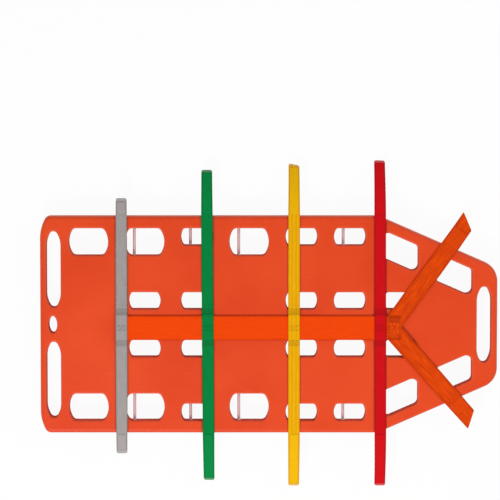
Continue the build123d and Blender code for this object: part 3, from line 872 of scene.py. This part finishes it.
cross_straps = [
    # name, lean, end slants, colour slot, colour, shade, distance of dark lines from the middle
    ("ankle", 0.0, (0.0, 0.0), "grey", (0.42, 0.38, 0.37), (0.26, 0.25, 0.24), 0.0),
    ("thigh", -0.0066, (0.0, 0.03), "green", (0.0, 0.255, 0.056), (0.0, 0.16, 0.03), 0.0),
    ("pelvis", 0.0, (0.22, 0.0), "yellow", (0.94, 0.51, 0.001), (0.72, 0.30, 0.001), 0.0042),
    ("chest", -0.0038, (0.05, 0.0), "red", (0.70, 0.004, 0.008), (0.50, 0.003, 0.008), 0.0),
]
for name, lean, slants, slot, colour, shade, lines in cross_straps:
    x = strap_middles[name]
    finish = webbing_finish(f"{slot}_webbing", colour, shade, lines)
    thread = thread_finish(f"{slot}_thread", tuple(0.80 * c for c in colour))
    tack_thread = thread_finish(f"{slot}_tack_thread", tuple(0.45 * c for c in colour))
    hooks = hook_finish(f"{slot}_hook_tape", [1.04 * c for c in colour], [0.74 * c for c in colour])
    crossing = "harness" if name == "ankle" else f"{name}_crossing"
    for side, word, slant in ((1, "left", slants[0]), (-1, "right", slants[1])):
        tip_y = max(abs(corner[1]) for corner in corners_of(f"{name}_tail_{word}"))
        bend = bend_y - side * harness_y
        end = bend + droop * math.asin((tip_y - bend_y) / (droop + webbing / 2))
        path, place = crossing_path(bend), crossing_place(x, side, lean)
        half = strap(f"{name}_webbing_{word}", 0.0, end, path, place, cross_width, slant=slant, hem=cross_hem,
                     shut=(False, True), corner=cross_corner, neck=strap_neck, fold=bend - hinge_to_bend)
        half.data.materials.append(finish)
        fold_start, fold_end = ((x, side * y, board_level) for y in (hinge_y, hinge_y + fold_length))
        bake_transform(half)
        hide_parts(f"{name}_tail_{word}", *([f"{name}_strap"] if side > 0 else []))

        tape = strap(f"{name}_hook_tape_{word}", bend + tape_start, end - tape_stop, path, place, tape_width,
                     tape_thickness, lift=tape_lift, neck=strap_neck)
        tape.data.materials.append(hooks)
        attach(tape, f"{name}_end_{word}")
        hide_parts(f"{name}_hook_strip_{word}")

        seams = seams_round(bend + tape_seam_start, end - tape_seam_stop, tape_seam_half)
        sewn = stitches(f"{name}_end_stitches_{word}", seams, path, place, tape_seam_lift)
        sewn.data.materials.append(thread)
        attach(sewn, f"{name}_end_{word}")

        seams = crossing_seams(*seam_ends[side])
        sewn = stitches(f"{name}_seam_stitches_{word}", seams, path, place, seam_lift)
        sewn.data.materials.append(tack_thread)
        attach(sewn, crossing)

    keeper = strap(f"{name}_keeper_strip", -keeper_half, keeper_half, keeper_path, crossing_place(x, 1, 0.0),
                   cross_width, keeper_thickness)
    keeper.data.materials.append(finish)
    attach(keeper, crossing)
    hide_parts(f"{name}_keeper")


# Shoulder straps and their yoke
# Two 38 mm straps spread in a V from the long strap's head end. Their roots lie between the long
# strap and a cover patch, and a box of stitches goes through all of it.
yoke_x = head_x - 0.221
shoulder_width, shoulder_corner, shoulder_slant = 0.038, 0.002, math.tan(math.radians(33))
shoulder_start, shoulder_hinge, shoulder_fold_length = 0.014, 0.0463, 0.008
shoulder_rise, shoulder_ramp_start, shoulder_ramp = 0.0035, 0.0523, 0.020
shoulder_tape_width, shoulder_tape_stop = 0.034, 0.024
shoulder_seam_stop, shoulder_seam_half = 0.0255, 0.0157

# The cover patch, its box of stitches and the crossed seams in it
patch_foot, patch_thickness, patch_level = 0.2435, 0.0014, 0.0565
box_foot, box_head, box_row = patch_foot + 0.0027, long_high[0] - 0.0024, 0.0016
box_half, box_reach, cross_inset, cross_half, box_lift = 0.0228, 0.0225, 0.0018, 0.0210, 0.0007
close_rows_from, close_rows_to = 0.0116, 0.0205


def shoulder_path(bend):
    """Level on the yoke, a smooth step s^2 (3 - 2s) down to the board, level to the bend and an arc
    over the edge: d sin(a) further out and d (1 - cos(a)) lower."""
    def path(u):
        """Distance, height and slope at a length u along the strap."""
        angle = np.clip((u - bend) / droop, 0, None)
        share = np.clip((u - shoulder_ramp_start) / shoulder_ramp, 0, 1)
        height = board_level + shoulder_rise * (1 - share * share * (3 - 2 * share))
        height = height - droop * (1 - np.cos(angle))
        slope = -angle - shoulder_rise * 6 * share * (1 - share) / shoulder_ramp
        return np.minimum(u, bend) + droop * np.sin(angle), height, slope

    return path


def shoulder_place(angle):
    """Distance runs along the strap in plan, from the yoke at an angle, and across to its left."""
    ahead = (math.cos(angle), math.sin(angle))
    return lambda distance, across, height: (
        yoke_x + distance * ahead[0] - across * ahead[1],
        harness_y + distance * ahead[1] + across * ahead[0], height)


shoulder_finish = webbing_finish(
    "shoulder_webbing", (0.90, 0.086, 0.0006), (0.60, 0.040, 0.001), rib=0.0016, edge_shade_from=0.6, wear=0.9)
orange_thread = thread_finish("orange_thread", (0.74, 0.048, 0.001))
orange_hooks = hook_finish("orange_hook_tape", (0.86, 0.074, 0.001), (0.58, 0.044, 0.001))
for word, degrees, overhang in (("left", 53.9, 0.0649), ("right", -48.6, 0.0553)):
    angle, side = math.radians(degrees), 1 if degrees > 0 else -1
    room = half_width - taper_slope * (yoke_x - taper_x) - side * harness_y
    reach = room / (abs(math.sin(angle)) + taper_slope * math.cos(angle))
    bend = reach - edge_roll
    end = bend + droop * math.asin((reach + overhang - bend) / (droop + webbing / 2))
    path, place = shoulder_path(bend), shoulder_place(angle)
    piece = strap(f"shoulder_webbing_{word}", shoulder_start, end, path, place, shoulder_width,
                  slant=side * shoulder_slant, corner=shoulder_corner, neck=strap_neck, fold=shoulder_hinge)
    piece.data.materials.append(shoulder_finish)
    fold_start, fold_end = (
        place(distance, 0, board_level + shoulder_rise)
        for distance in (shoulder_hinge, shoulder_hinge + shoulder_fold_length))
    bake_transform(piece)
    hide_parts(f"shoulder_strap_{word}")
    tape = strap(f"shoulder_hook_tape_{word}", bend + tape_start, end - shoulder_tape_stop, path, place,
                 shoulder_tape_width, tape_thickness, lift=tape_lift, neck=strap_neck)
    tape.data.materials.append(orange_hooks)
    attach(tape, f"shoulder_{word}")
    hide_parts(f"shoulder_hook_strip_{word}")
    seams = seams_round(bend + tape_seam_start, end - shoulder_seam_stop, shoulder_seam_half)
    sewn = stitches(f"shoulder_end_stitches_{word}", seams, path, place, tape_seam_lift)
    sewn.data.materials.append(orange_thread)
    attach(sewn, f"shoulder_{word}")


def patch_path(u):
    """Level, on top of the shoulder straps' roots."""
    return u, np.full(np.shape(u), patch_level), np.zeros(np.shape(u))


def box_seams():
    """Two rows along each side of the patch, a cross from corner to corner of the box inside
    them, and six rows close together along its left half."""
    across_rows = (box_foot, box_foot + box_row, box_head - box_row, box_head)
    along_rows = (-box_half, box_row - box_half, box_half - box_row, box_half)
    seams = [(u, -box_reach, u, box_reach) for u in across_rows]
    seams += [(box_foot, v, box_head, v) for v in along_rows]
    first, last = box_foot + cross_inset, box_head - cross_inset
    seams += [(first, -v, last, v) for v in (cross_half, -cross_half)]
    return seams + [(first, v, last, v) for v in np.arange(close_rows_from, close_rows_to, box_row)]


patch = strap("yoke_patch", patch_foot, long_high[0], patch_path, along_board, long_width, patch_thickness)
patch.data.materials.append(shoulder_finish)
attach(patch, "harness")
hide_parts("shoulder_yoke")
box = stitches("yoke_stitches", box_seams(), patch_path, along_board, box_lift)
box.data.materials.append(thread_finish("orange_tack_thread", (0.42, 0.022, 0.002)))
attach(box, "harness")


# Studio
# A plain pale floor under the runners, two large soft lamps and a pale sky. The camera hangs high
# over the board, a little to its left side, with a long lens.
floor_half, floor_grey, floor_white, sky_light = 6, 0.86, 0.94, 0.55
camera_height, seen_length, camera_tilt, film_width = 6.5, 1.026, 4.4, 36.0
camera_aim = (-0.0386, 0.1543, board_top)


def seen_directly(tree):
    """1 for rays from the camera, off gloss or through glass and 0 for others: the largest of
    three of Light Path's outputs."""
    rays = add(tree, "LightPath").outputs
    bounced = sums(tree, "MAXIMUM", rays["Is Glossy Ray"], rays["Is Transmission Ray"])
    return sums(tree, "MAXIMUM", rays["Is Camera Ray"], bounced)


def floor_finish():
    """Pale matt floor: the camera, gloss and glass see it nearly white, with the shadow kept."""
    material = bpy.data.materials.new("pale_floor")
    material.use_nodes = True
    tree = material.node_tree
    shader, out = tree.nodes["Principled BSDF"], tree.nodes["Material Output"]
    shader.inputs["Base Color"].default_value = (floor_grey, floor_grey, floor_grey, 1)
    shader.inputs["Roughness"].default_value = 0.9
    white = add(tree, "Emission", {"Strength": 1.0})
    mixed = add(tree, "MixShader", {0: sums(tree, "MULTIPLY", seen_directly(tree), floor_white)})
    tree.links.new(shader.outputs[0], mixed.inputs[1])
    tree.links.new(white.outputs[0], mixed.inputs[2])
    tree.links.new(mixed.outputs[0], out.inputs[0])
    return material


floor_corners = [(floor_half * x, floor_half * y, 0) for x, y in ((-1, -1), (1, -1), (1, 1), (-1, 1))]
floor_mesh = bpy.data.meshes.new("floor")
floor_mesh.from_pydata(floor_corners, [], [(0, 1, 2, 3)])
floor = bpy.data.objects.new("floor", floor_mesh)
bpy.context.scene.collection.objects.link(floor)
floor.data.materials.append(floor_finish())

world = bpy.data.worlds.new("pale_sky")
bpy.context.scene.world = world
world.use_nodes = True
sky = world.node_tree
background = sky.nodes["Background"]
background.inputs["Color"].default_value = (1, 1, 1, 1)
strength = sums(sky, "MULTIPLY_ADD", seen_directly(sky), 1 - sky_light, sky_light)
sky.links.new(strength, background.inputs["Strength"])


def lamp(name, place, aim, size, power):
    """A square soft lamp that points at a spot on the board."""
    light = bpy.data.lights.new(name, "AREA")
    light.shape, light.size, light.energy = "SQUARE", size, power
    holder = bpy.data.objects.new(name, light)
    holder.location = place
    holder.rotation_euler = (Vector(aim) - Vector(place)).to_track_quat("-Z", "Y").to_euler()
    bpy.context.scene.collection.objects.link(holder)


lamp("key_lamp", (-0.7, -1.5, 2.0), (0, 0, 0), 0.9, 34.0)
lamp("fill_lamp", (1.7, 1.0, 1.6), (0, 0, 0), 0.9, 11.0)

camera = bpy.data.cameras.new("camera")
camera.sensor_width, camera.lens = film_width, film_width * camera_height / seen_length
camera.clip_end = 50
viewpoint = bpy.data.objects.new("camera", camera)
tilt = math.radians(camera_tilt)
viewpoint.location = Vector(camera_aim) + camera_height * Vector((0, math.sin(tilt), math.cos(tilt)))
viewpoint.rotation_euler = (-tilt, 0, 0)
bpy.context.scene.collection.objects.link(viewpoint)
bpy.context.scene.camera = viewpoint
bpy.context.scene.view_settings.view_transform = "Standard"
